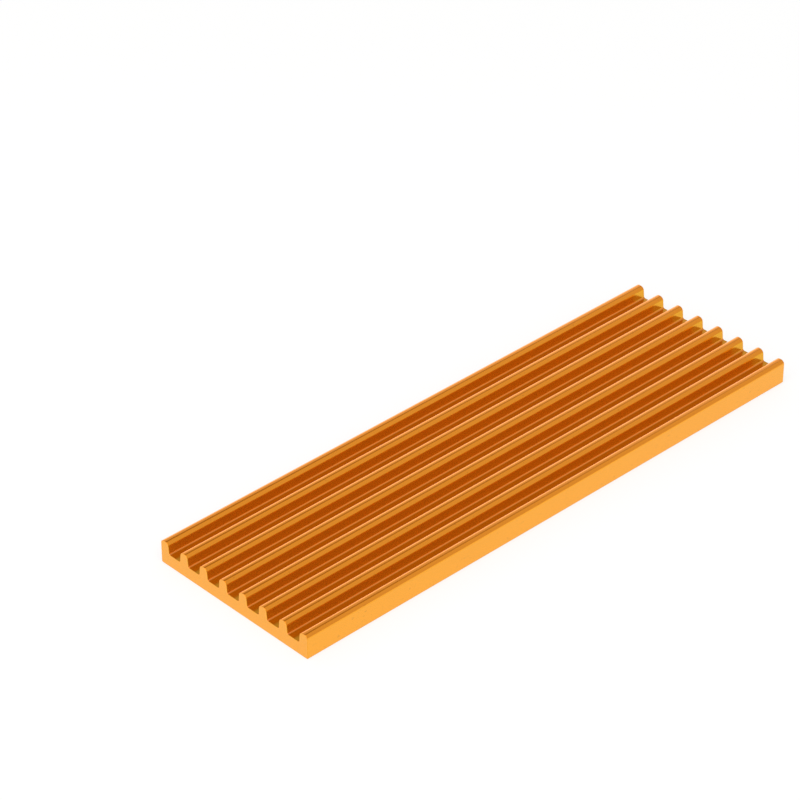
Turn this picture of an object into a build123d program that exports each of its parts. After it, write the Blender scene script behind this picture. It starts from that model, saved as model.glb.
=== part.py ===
from build123d import *
import math
import os

# A finned aluminium bar that lies on a solid-state drive and cools it.
# Lengths are in millimetres and angles in degrees. The origin is the middle of the flat
# underside, +X runs along the fins, +Y across them and +Z up to their tips.

# Overall size of the bar
length = 70.0
width = 22.0
height = 2.85

# The plate under the fins, and the fins that stand on it
base_thickness = 1.5
fin_count = 8
fin_thickness = 1.18    # at half of the fin's height, the two outer fins included
fin_draft = 5.0         # lean of each wall of a channel, which is wider at its mouth

# Rounding that the extrusion die leaves along the bar
tip_radius = 0.5        # both shoulders of every fin
root_radius = 0.2       # foot of every wall, where it meets the channel's floor
edge_radius = 0.15      # the two long edges of the underside

# The arc of a shoulder takes at most this share of the crest, so that the two never meet
shoulder_share = 0.49

# A corner of the section belongs to a level if it is this near to it
level_tolerance = 0.001

# Worked out from the sizes above
channel_count = fin_count - 1
channel_depth = height - base_thickness
fin_pitch = (width - fin_thickness) / channel_count
wall_lean = channel_depth / 2 * math.tan(math.radians(fin_draft))
mouth_width = fin_pitch - fin_thickness + 2 * wall_lean
crest_width = fin_thickness - 2 * wall_lean


def channel_section():
    """One channel between two fins, standing on its floor and widening upwards to its mouth."""
    return Trapezoid(mouth_width, channel_depth, 90 + fin_draft, align=(Align.CENTER, Align.MIN))


def cut_section():
    """The plate's outline with every channel cut out of its upper side, all corners sharp."""
    blank = Rectangle(width, height, align=(Align.CENTER, Align.MIN))
    first = -(channel_count - 1) / 2 * fin_pitch
    places = [Pos(first + i * fin_pitch, base_thickness) for i in range(channel_count)]
    return blank - [place * channel_section() for place in places]


def round_level(section, level, radius):
    """Rounds the corners of a section that lie at one height."""
    low, high = level - level_tolerance, level + level_tolerance
    return fillet(section.vertices().filter_by_position(Axis.Y, low, high), radius)


def bar_section():
    """The section that the die gives: rounded tips, roots and lower edges."""
    section = cut_section()
    section = round_level(section, height, min(tip_radius, shoulder_share * crest_width))
    section = round_level(section, base_thickness, root_radius)
    return round_level(section, 0, edge_radius)


def heat_sink():
    """The bar, sawn square at both ends."""
    return extrude(Plane.YZ * bar_section(), amount=length / 2, both=True)


os.makedirs("parts", exist_ok=True)
export_step(heat_sink(), "parts/heat_sink.step")
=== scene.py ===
# %% [markdown]
# This is an SSD heat sink: a gold-anodised aluminium bar with eight fins. It is pushed through a
# die, so one section runs its whole length, and then it is sawn to length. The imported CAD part
# gives its place and size. This lesson dresses it with a finer mesh of the same section, the
# anodised finish, a pale floor, soft light and a camera.

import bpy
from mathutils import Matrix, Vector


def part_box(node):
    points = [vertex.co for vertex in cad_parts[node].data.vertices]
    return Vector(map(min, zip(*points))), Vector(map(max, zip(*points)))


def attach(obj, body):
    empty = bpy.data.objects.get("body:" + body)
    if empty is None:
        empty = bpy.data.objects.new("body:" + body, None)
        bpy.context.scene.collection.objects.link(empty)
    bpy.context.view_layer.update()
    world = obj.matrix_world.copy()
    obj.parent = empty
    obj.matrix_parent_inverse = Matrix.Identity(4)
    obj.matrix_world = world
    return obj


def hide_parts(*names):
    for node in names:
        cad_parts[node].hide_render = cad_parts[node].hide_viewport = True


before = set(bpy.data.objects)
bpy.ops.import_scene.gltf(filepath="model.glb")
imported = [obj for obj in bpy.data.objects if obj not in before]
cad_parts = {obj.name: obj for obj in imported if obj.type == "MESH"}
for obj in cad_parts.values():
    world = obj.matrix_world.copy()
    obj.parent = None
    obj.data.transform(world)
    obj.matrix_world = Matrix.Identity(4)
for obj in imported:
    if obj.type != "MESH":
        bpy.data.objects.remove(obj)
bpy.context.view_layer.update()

# %% [markdown]
# Blender works in metres. A bar with radii of a few tenths of a millimetre is so small in metres
# that a bevel takes its edges for specks and skips them. So the mesh is built in millimetres, and
# it is scaled down only when it is finished.

# %% Read the bar's size
import math

import bmesh
import bpy
from mathutils import Matrix, Vector

mm = 0.001
low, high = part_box("heat_sink")
length, width, height = (high - low) / mm
print("bar", [round(side, 3) for side in (length, width, height)], "mm")

# %% [markdown]
# The section has a plate below and eight fins above it. These are its sizes on the real bar.
# The overall length, width and height come from the frame, so they can't drift from it.

# %% Sizes of the section
base_thickness = 1.5
fin_count = 8
fin_thickness = 1.18
fin_draft = math.radians(5.0)
channel_depth = height - base_thickness
fin_pitch = (width - fin_thickness) / (fin_count - 1)
wall_lean = channel_depth / 2 * math.tan(fin_draft)
print("fins stand", round(channel_depth, 2), "mm high at a pitch of", round(fin_pitch, 3), "mm")

# %% [markdown]
# The section could be drawn as a finished outline and pushed along the bar. Here the bar starts
# as a cube scaled to a flat blank, because the fins can then be raised from its top with one
# extrude, as a modeller would do it by hand. The blank is a little short at each end. The sawn
# faces are pushed out to the full length later.

# %% Make the blank plate
end_break = 0.04
blank_length = length - 2 * end_break
bar = bmesh.new()
bmesh.ops.create_cube(bar, size=1.0)
bmesh.ops.scale(bar, vec=(blank_length, width, base_thickness), verts=bar.verts)
bmesh.ops.translate(bar, vec=(0, 0, base_thickness / 2), verts=bar.verts)
print("blank:", len(bar.faces), "faces")

# %% [markdown]
# The foot of every wall is scored into the blank as a line along the bar. A wall leans by the
# draft angle, so its foot lies a little further from the fin's middle than its half height does.
# A cut with bisect_plane splits both ends and the underside too, which does no harm here.

# %% Score the wall lines
half_foot = fin_thickness / 2 + wall_lean
outer_middle = (width - fin_thickness) / 2
fin_middles = [i * fin_pitch - outer_middle for i in range(fin_count)]


def inner_walls():
    """The place of every wall's foot across the bar, and which way its channel lies."""
    for i, middle in enumerate(fin_middles):
        if i > 0:
            yield middle - half_foot, -1
        if i < fin_count - 1:
            yield middle + half_foot, 1


for y, side in inner_walls():
    everything = bar.verts[:] + bar.edges[:] + bar.faces[:]
    bmesh.ops.bisect_plane(bar, geom=everything, plane_co=(0, y, 0), plane_no=(0, 1, 0))
print("walls scored:", len(list(inner_walls())))

# %% [markdown]
# Each strip of the top that lies under a fin is now raised by one extrude. The operator keeps the
# strips themselves, and they would be left inside the fins, so they are deleted.

# %% Raise the fins
def under_a_fin(face):
    """True for a strip of the blank's top that a fin stands on."""
    y = face.calc_center_median().y
    from_nearest = min(abs(y - middle) for middle in fin_middles)
    return face.normal.z > 0.5 and from_nearest < fin_thickness / 2


strips = [face for face in bar.faces if under_a_fin(face)]
raised = bmesh.ops.extrude_face_region(bar, geom=strips)
bmesh.ops.delete(bar, geom=strips, context="FACES_ONLY")
crests = [item for item in raised["geom"] if isinstance(item, bmesh.types.BMVert)]
bmesh.ops.translate(bar, vec=(0, 0, channel_depth), verts=crests)
print("fins raised:", len(strips))

# %% [markdown]
# The crest edges then move towards the fin's middle, which gives the walls their draft, so that a
# channel is wider at its mouth. The outer walls of the two outer fins stay upright, because they
# are flush with the sides of the plate.

# %% Lean the walls
near = 0.01     # two heights or places this close are the same
for y, side in inner_walls():
    crest_edge = [vert for vert in crests if abs(vert.co.y - y) < near]
    bmesh.ops.translate(bar, vec=(0, -side * 2 * wall_lean, 0), verts=crest_edge)
bmesh.ops.recalc_face_normals(bar, faces=bar.faces)
print("crest:", round(fin_thickness - 2 * wall_lean, 3), "mm wide before rounding")

# %% [markdown]
# The cuts have left lines across flat faces. They would stop the bevels short, so every edge
# between two faces in one plane is dissolved.

# %% Clear the lines on flat faces
flat_turn = 0.001   # radians
flat_lines = [edge for edge in bar.edges if edge.calc_face_angle() < flat_turn]
bmesh.ops.dissolve_edges(bar, edges=flat_lines, use_verts=True)
print("sharp section:", len(bar.faces), "faces")

# %% [markdown]
# A die can't hold a dead sharp corner, so tips, roots and the lower edges are round. A bevel
# with a profile of 0.5 is a true arc. Its offset is the tangent length of the arc, which
# depends on how far the surface turns there.

# %% Round the corners along the bar
def edges_along(level):
    """Edges that run the whole bar at one height."""
    def there(vert):
        return abs(vert.co.z - level) < near
    return [edge for edge in bar.edges
            if all(there(vert) for vert in edge.verts) and edge.calc_length() > blank_length / 2]


def round_edges(edges, radius, turn, segments):
    """Rounds edges to an arc of that radius, where the surface turns by that angle."""
    bmesh.ops.bevel(bar, geom=edges, offset=radius * math.tan(turn / 2), offset_type="OFFSET",
                    segments=segments, profile=0.5, affect="EDGES", clamp_overlap=False, material=-1)


tip_radius = 0.5
root_radius = 0.2
edge_radius = 0.15
square = math.radians(90)
round_edges(edges_along(height), tip_radius, square - fin_draft, segments=12)
round_edges(edges_along(base_thickness), root_radius, square - fin_draft, segments=6)
round_edges(edges_along(0), edge_radius, square, segments=5)
print("rounded section:", len(bar.faces), "faces")

# %% [markdown]
# The saw leaves the ends square, and tumbling then takes the burr off. Bevelling the rim would
# squeeze the short edges of the arcs. Insetting the end face by the width of the break, and
# pushing it out by as much, makes the same small chamfer with no squeezed edge.

# %% Break the sawn edges
ends = [face for face in bar.faces if abs(face.normal.x) > 0.99]
bmesh.ops.inset_individual(bar, faces=ends, thickness=end_break, depth=end_break,
                           use_even_offset=True)
print("sawn ends:", [round(face.calc_center_median().x, 2) for face in ends])

# %% [markdown]
# The colour isn't the same all over, and these changes are painted light. The rounded tips are a
# deeper orange than the flat outside, a painted reflection tint that sets the colour of the light
# on the crests. The walls of the channels are a little darker than the outside, and the floors
# are the brownest: painted shade between the fins. The roots are the reddest, a painted highlight
# tint for the light line along each root. So each point of the mesh carries four shares from 0
# to 1. A picture could hold them too, but mesh attributes suit this better, because the pattern
# follows the section and not a direction in space.

# %% Mark the tips, roots, walls and floors
def clamped(value):
    """The value, kept between 0 and 1."""
    return min(1.0, max(0.0, value))


def tip_tint_share(point):
    """1 over the crest of a fin, falling to 0 before its shoulders meet the flat walls."""
    down_the_tip = (height - point.z) / tip_radius
    return clamped(2.7 - 3.7 * down_the_tip)


# In the colour, the tip share places a painted reflection tint, the root share a painted highlight
# tint, and the wall and floor shares painted shade.
def shares_at(point):
    """How far a point belongs to a tip, and to a root, a wall and a floor of a channel."""
    tip = tip_tint_share(point)
    between_outer_fins = abs(point.y) < outer_middle
    above_plate = point.z > base_thickness - near
    if not (between_outer_fins and above_plate):
        return tip, 0.0, 0.0, 0.0
    level = 1 - clamped((point.z - base_thickness) / root_radius)
    wall = clamped(1 - 2 * level ** 2) * (1 - tip)
    floor = clamped(6 * level ** 2 - 5)
    return tip, 1 - tip - wall - floor, wall, floor


parts = ("tip", "root", "wall", "floor")
layers = [bar.verts.layers.float.new(part) for part in parts]
for vert in bar.verts:
    for layer, share in zip(layers, shares_at(vert.co)):
        vert[layer] = share
for part, layer in zip(parts, layers):
    count = sum(vert[layer] > 0.9 for vert in bar.verts)
    print("points on", part + ":", count, "of", len(bar.verts))

# %% [markdown]
# The mesh is scaled to metres and made an object that stands for the CAD node. All faces are
# smooth, and a Weighted Normal modifier lets the large flat faces keep their own normals, so
# only the arcs are shaded as curves.

# %% Make the piece
for face in bar.faces:
    face.smooth = True
    face.material_index = 1 if face in ends else 0
bmesh.ops.scale(bar, vec=(mm, mm, mm), verts=bar.verts)
mesh = bpy.data.meshes.new("heat_sink_bar")
bar.to_mesh(mesh)
bar.free()
piece = bpy.data.objects.new("heat_sink_bar", mesh)
bpy.context.scene.collection.objects.link(piece)
weighted = piece.modifiers.new("flat faces stay flat", "WEIGHTED_NORMAL")
weighted.weight = 100
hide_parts("heat_sink")
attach(piece, "root")
print("piece:", len(mesh.vertices), "vertices,", len(mesh.polygons), "faces")

# %% [markdown]
# Materials here are trees of nodes. A few helpers keep the cells short: they add a node with its
# values, join two nodes, map a value onto a range, mix two colours, and give the noise that most
# finishes are made of. All patterns are in Object coordinates, so they stay with the metal from
# any side.

# %% Helpers for nodes
def add(tree, kind, **values):
    """Adds a node. A value sets the node's own setting, or else its input of that name."""
    node = tree.nodes.new(kind)
    for name, value in values.items():
        if hasattr(node, name):
            setattr(node, name, value)
        else:
            node.inputs[name.replace("_", " ")].default_value = value
    return node


def link(tree, source, target):
    """Joins an output to an input."""
    tree.links.new(source, target)


def noise(tree, grain, stretch=(1, 1, 1), **values):
    """Noise with grains of that size in millimetres, drawn out along the axes by stretch."""
    place = add(tree, "ShaderNodeTexCoord")
    mapping = add(tree, "ShaderNodeMapping", Scale=[1 / (grain * mm * factor) for factor in stretch])
    texture = add(tree, "ShaderNodeTexNoise", Scale=1.0, **values)
    link(tree, place.outputs["Object"], mapping.inputs["Vector"])
    link(tree, mapping.outputs["Vector"], texture.inputs["Vector"])
    return texture.outputs["Fac"]


def between(tree, source, bottom, top, **values):
    """Maps a value that runs from 0 to 1 onto the range from bottom to top."""
    node = add(tree, "ShaderNodeMapRange", To_Min=bottom, To_Max=top, **values)
    link(tree, source, node.inputs["Value"])
    return node.outputs["Result"]


def blend(tree, share, first, second):
    """Mixes two colours. Each is a colour or another node's output."""
    node = add(tree, "ShaderNodeMix", data_type="RGBA")
    link(tree, share, node.inputs["Factor"])
    for slot, colour in ((6, first), (7, second)):
        if isinstance(colour, tuple):
            node.inputs[slot].default_value = (*colour, 1)
        else:
            link(tree, colour, node.inputs[slot])
    return node.outputs[2]


print("node helpers ready")

# %% [markdown]
# Gold anodising is bare aluminium under a clear oxide layer that holds an orange dye. The metal
# gives the mirror-like part, so Metallic is 1, and the oxide's own surface gives a thin white
# gloss, which is the coat. A yellow metal alone would look like brass.

# %% Start the anodised finish
outside_coat = 0.65


def anodised(name):
    """A material with the dyed metal's fixed values. Returns it, its tree and its shader."""
    material = bpy.data.materials.new(name)
    material.use_nodes = True
    tree = material.node_tree
    shader = tree.nodes["Principled BSDF"]
    shader.inputs["Metallic"].default_value = 1.0
    shader.inputs["Coat Weight"].default_value = outside_coat
    shader.inputs["Coat Roughness"].default_value = 0.12
    shader.inputs["Coat IOR"].default_value = 1.5
    mesh.materials.append(material)
    return material, tree, shader


gold, tree, shader = anodised("gold_anodised")
print("material", gold.name)

# %% [markdown]
# The colour is mixed from five golds by the four attributes. Only the flat gold is the dye's own
# colour: the tip gold is a painted reflection tint, the root gold a painted highlight tint, and the
# wall and floor golds are painted shade. The dye also takes unevenly, so two noises darken the mix
# a little: a soft one for clouds a few millimetres wide, and a fine one that is cut off near its
# top, which leaves a few small brown specks.

# %% Colour of the dye
flat_gold = (0.98, 0.40, 0.004)
# Tip gold: painted reflection tint. Root gold: painted highlight tint.
tip_reflection_tint = (0.98, 0.32, 0.003)
root_highlight_tint = (0.90, 0.235, 0.04)
# Wall and floor golds: painted shade between the fins.
wall_painted_shade = (0.84, 0.395, 0.015)
floor_painted_shade = (0.64, 0.262, 0.005)
# The dye's flat gold, with the painted shade and painted tints of the shares mixed over it.
dye_and_painted_light = flat_gold
shares = {}
for part, painted_tint_there in zip(parts, (tip_reflection_tint, root_highlight_tint, wall_painted_shade, floor_painted_shade)):
    shares[part] = add(tree, "ShaderNodeAttribute", attribute_name=part).outputs["Fac"]
    dye_and_painted_light = blend(tree, shares[part], dye_and_painted_light, painted_tint_there)
cloud_gold = (0.80, 0.26, 0.012)
speck_brown = (0.35, 0.10, 0.01)
clouds = between(tree, noise(tree, 6.0, Detail=3.0), 0.0, 0.12)
colour = blend(tree, clouds, dye_and_painted_light, cloud_gold)
fine = noise(tree, 0.3, stretch=(2, 1, 1))
specks = between(tree, fine, 0.0, 0.2, From_Min=0.67, From_Max=0.75)
colour = blend(tree, specks, colour, speck_brown)
link(tree, colour, shader.inputs["Base Color"])
print("dye_and_painted_light", flat_gold, "outside,", wall_painted_shade, "on the walls of the channels")

# %% [markdown]
# Before the oxide grows, a bath brightens the metal. It hardly moves in the narrow channels, so
# their walls stay partly matt. Two facing mirrors would show only darker and darker golds, down
# to a dull red. A small matt share takes in light from the mouth of the channel and keeps the
# walls an even brown orange. In the shader it is a Metallic value a little below 1.

# %% Matt share of the walls
wall_metal = 0.85
link(tree, between(tree, shares["wall"], 1.0, wall_metal), shader.inputs["Metallic"])
print("walls of the channels:", round(1 - wall_metal, 2), "matt")

# %% [markdown]
# For the same reason the white gloss of the oxide is weaker between the fins than outside. The
# shares of wall and floor are added, and they turn the coat down there.

# %% Gloss of the oxide
channel_coat = 0.1
in_channel = add(tree, "ShaderNodeMath", operation="ADD")
link(tree, shares["wall"], in_channel.inputs[0])
link(tree, shares["floor"], in_channel.inputs[1])
coat = between(tree, in_channel.outputs[0], outside_coat, channel_coat)
link(tree, coat, shader.inputs["Coat Weight"])
print("coat", outside_coat, "outside,", channel_coat, "in the channels")

# %% [markdown]
# The die drags fine lines along the bar, and the etching bath before the dye leaves a grain
# finer than a tenth of a millimetre. Both are far too small to model, so they are roughness and
# bump: a noise drawn out along X for the lines, and a nearly even one for the grain. Both bumps
# are weak, and there are none in the channels, where two walls that mirror each other would turn
# them into a coarse pattern. The roughness is a little lower there, which keeps the light line
# along each root thin.

# %% Die lines and etched grain
die_lines = noise(tree, 0.16, stretch=(150, 1, 1), Detail=2.0)
smoother = add(tree, "ShaderNodeMath", operation="MULTIPLY")
channel_factor = 0.75
link(tree, between(tree, die_lines, 0.19, 0.25), smoother.inputs[0])
link(tree, between(tree, in_channel.outputs[0], 1.0, channel_factor), smoother.inputs[1])
link(tree, smoother.outputs[0], shader.inputs["Roughness"])
grain = noise(tree, 0.07, stretch=(2, 1, 1), Detail=1.0)
relief = 0.002 * mm
line_bump = add(tree, "ShaderNodeBump", Distance=relief)
grain_bump = add(tree, "ShaderNodeBump", Distance=relief)
for bump, strength in ((line_bump, 0.06), (grain_bump, 0.15)):
    link(tree, between(tree, in_channel.outputs[0], strength, 0.0), bump.inputs["Strength"])
link(tree, die_lines, line_bump.inputs["Height"])
link(tree, grain, grain_bump.inputs["Height"])
link(tree, line_bump.outputs["Normal"], grain_bump.inputs["Normal"])
link(tree, grain_bump.outputs["Normal"], shader.inputs["Normal"])
print("die lines and grain on", gold.name)

# %% [markdown]
# The sawn ends are anodised after the cut, so they have the same gold. A round saw blade leaves
# faint arcs instead of die lines. A ring wave around a far centre below the bar gives such arcs,
# and a little distortion keeps them from looking printed.

# %% Sawn ends
end_gold, tree, shader = anodised("gold_sawn_end")
shader.inputs["Base Color"].default_value = (0.97, 0.39, 0.004, 1)
blade_radius = 60.0
feed = 0.5      # how far the bar moves on between two arcs
place = add(tree, "ShaderNodeTexCoord")
centre = add(tree, "ShaderNodeMapping", Location=(0, 8 * mm, blade_radius * mm))
arcs = add(tree, "ShaderNodeTexWave", wave_type="RINGS", rings_direction="X",
           Scale=1 / (feed * mm), Distortion=2.5, Detail=2.0)
link(tree, place.outputs["Object"], centre.inputs["Vector"])
link(tree, centre.outputs["Vector"], arcs.inputs["Vector"])
link(tree, between(tree, arcs.outputs["Fac"], 0.24, 0.30), shader.inputs["Roughness"])
saw_bump = add(tree, "ShaderNodeBump", Strength=0.2, Distance=relief)
link(tree, arcs.outputs["Fac"], saw_bump.inputs["Height"])
link(tree, saw_bump.outputs["Normal"], shader.inputs["Normal"])
print("material", end_gold.name)

# %% [markdown]
# The bar lies on a plain white table, which takes its soft shadow and is also what the metal's
# sides mirror. The table is a hair below the bar. In the very plane of the underside, the two
# faces would show through each other in patches.

# %% Floor
floor_half = 1.0
hair = 0.02
grid = bmesh.new()
bmesh.ops.create_grid(grid, x_segments=1, y_segments=1, size=floor_half)
bmesh.ops.translate(grid, vec=(0, 0, -hair * mm), verts=grid.verts)
floor_mesh = bpy.data.meshes.new("floor")
grid.to_mesh(floor_mesh)
grid.free()
floor = bpy.data.objects.new("floor", floor_mesh)
bpy.context.scene.collection.objects.link(floor)
print("floor", 2 * floor_half, "m square")

# %% [markdown]
# A share of the table's white is its own, where the camera or a reflection looks at it, so that
# it stays white without more light on the bar. Around the bar the rest is paint, which takes the
# shadow. The share grows away from the bar, so that the table's edge doesn't show. From below
# the table is clear, like a glass one, so that the underside of the bar can be looked at too.

# %% White of the table
def seen_directly(tree):
    """1 for a ray from the camera, from a glossy surface or through glass, and 0 for others."""
    path = add(tree, "ShaderNodeLightPath")
    total = path.outputs["Is Camera Ray"]
    for name in ("Is Glossy Ray", "Is Transmission Ray"):
        either = add(tree, "ShaderNodeMath", operation="MAXIMUM")
        link(tree, total, either.inputs[0])
        link(tree, path.outputs[name], either.inputs[1])
        total = either.outputs[0]
    return total


own_white = 0.7
shadow_reach = 0.1
all_white = 0.5
table = bpy.data.materials.new("white_table")
table.use_nodes = True
tree = table.node_tree
paint = tree.nodes["Principled BSDF"]
paint.inputs["Base Color"].default_value = (0.9, 0.9, 0.9, 1)
paint.inputs["Roughness"].default_value = 0.9
paint.inputs["Specular IOR Level"].default_value = 0.0
white = add(tree, "ShaderNodeEmission", Color=(1, 1, 1, 1), Strength=1.0)
from_bar = add(tree, "ShaderNodeVectorMath", operation="LENGTH")
link(tree, add(tree, "ShaderNodeTexCoord").outputs["Object"], from_bar.inputs[0])
own_share = add(tree, "ShaderNodeMath", operation="MULTIPLY")
link(tree, seen_directly(tree), own_share.inputs[0])
outwards = between(tree, from_bar.outputs["Value"], own_white, 1.0,
                   From_Min=shadow_reach, From_Max=all_white)
link(tree, outwards, own_share.inputs[1])
either = add(tree, "ShaderNodeMixShader")
link(tree, own_share.outputs[0], either.inputs[0])
link(tree, paint.outputs[0], either.inputs[1])
link(tree, white.outputs[0], either.inputs[2])
one_sided = add(tree, "ShaderNodeMixShader")
link(tree, add(tree, "ShaderNodeNewGeometry").outputs["Backfacing"], one_sided.inputs[0])
link(tree, either.outputs[0], one_sided.inputs[1])
link(tree, add(tree, "ShaderNodeBsdfTransparent").outputs[0], one_sided.inputs[2])
link(tree, one_sided.outputs[0], tree.nodes["Material Output"].inputs["Surface"])
floor_mesh.materials.append(table)
print("own white of the table:", own_white, "around the bar")

# %% [markdown]
# Polished metal shows the room, so the room matters more than the lamp. It is a pale grey studio
# with a white sweep behind the bar, which fades out between about 19 and 38 degrees above the
# floor. Over it is a darker, warm brown patch of ceiling, and that patch draws the thin dark
# line along every crest. Each is a soft step over the direction in which a ray leaves. Below
# the horizon the room is as white as the table, so the end of the table can't be seen.

# %% Room light
world = bpy.data.worlds.new("studio")
bpy.context.scene.world = world
world.use_nodes = True
tree = world.node_tree
background = tree.nodes["Background"]
direction = add(tree, "ShaderNodeTexCoord").outputs["Generated"]


def towards(azimuth, elevation):
    """The direction at an angle from +X towards +Y, and an angle above the floor."""
    across, up = math.radians(azimuth), math.radians(elevation)
    return Vector((math.cos(across) * math.cos(up), math.sin(across) * math.cos(up), math.sin(up)))


def soft_patch(azimuth, elevation, core, rim):
    """1 within the core angle of a direction, falling to 0 at the rim angle."""
    aim = add(tree, "ShaderNodeVectorMath", operation="DOT_PRODUCT")
    link(tree, direction, aim.inputs[0])
    aim.inputs[1].default_value = towards(azimuth, elevation)
    step = add(tree, "ShaderNodeMapRange", interpolation_type="SMOOTHSTEP",
               From_Min=math.cos(math.radians(rim)), From_Max=math.cos(math.radians(core)))
    link(tree, aim.outputs["Value"], step.inputs["Value"])
    return step.outputs["Result"]


def grey(level):
    """A neutral colour."""
    return (level, level, level)


studio, sweep, table_white = grey(0.72), grey(1.35), grey(1.0)
brown_ceiling = (0.32, 0.235, 0.06)
room = blend(tree, soft_patch(51, -40, core=59, rim=78), studio, sweep)
room = blend(tree, soft_patch(41, 57, core=7, rim=21), room, brown_ceiling)
height_of_ray = add(tree, "ShaderNodeSeparateXYZ")
link(tree, direction, height_of_ray.inputs["Vector"])
above_table = between(tree, height_of_ray.outputs["Z"], 0.0, 1.0, From_Min=-0.03, From_Max=0.0)
room = blend(tree, above_table, table_white, room)
print("room light: studio", studio[0], "sweep", sweep[0], "ceiling", brown_ceiling)

# %% [markdown]
# A product picture has a plain white background. The room can't be white all over, because the
# metal needs its darker parts to mirror. So the camera alone sees white where it looks past the
# bar, and all other rays still find the room.

# %% White behind the bar
camera_ray = add(tree, "ShaderNodeLightPath").outputs["Is Camera Ray"]
link(tree, blend(tree, camera_ray, room, table_white), background.inputs["Color"])
print("camera sees white behind the bar")

# %% [markdown]
# One large soft box hangs above the camera, a little to its left, and faces the bar. It brings
# the table up to white and gives the bar its faint shadow. A small lamp would cast a hard shadow
# and leave a glint. The box is off the directions that the fins mirror into the camera.

# %% Soft box
box_place = Vector((-0.4, -0.3, 0.6))
box_data = bpy.data.lights.new("soft_box", "AREA")
box_data.shape = "SQUARE"
box_data.size = 1.0
box_data.energy = 5.5
soft_box = bpy.data.objects.new("soft_box", box_data)
bpy.context.scene.collection.objects.link(soft_box)
soft_box.location = box_place
soft_box.rotation_euler = (-box_place).to_track_quat("-Z", "Y").to_euler()
print("soft box at", [round(value, 2) for value in soft_box.location])

# %% [markdown]
# The camera looks along the bar from its near left corner, a third of a right angle down. The
# angles, the distance and the lens were found by fitting the bar's corners to the photograph.

# %% Camera
camera_azimuth = math.radians(-43.331)
camera_elevation = math.radians(34.132)
camera_roll = math.radians(-0.226)
camera_distance = 354.58 * mm
camera_aim = Vector((0.91, 13.86, 1.5)) * mm
camera_data = bpy.data.cameras.new("camera")
camera_data.lens = 148.19
camera = bpy.data.objects.new("camera", camera_data)
bpy.context.scene.collection.objects.link(camera)
back = Vector((math.sin(camera_azimuth) * math.cos(camera_elevation),
               -math.cos(camera_azimuth) * math.cos(camera_elevation),
               math.sin(camera_elevation)))
turn = (-back).to_track_quat("-Z", "Y").to_matrix().to_4x4()
roll = Matrix.Rotation(camera_roll, 4, "Z")
camera.matrix_world = Matrix.Translation(camera_aim + back * camera_distance) @ turn @ roll
bpy.context.scene.camera = camera
bpy.context.scene.view_settings.view_transform = "Standard"
print("camera", [round(value, 4) for value in camera.matrix_world.translation])
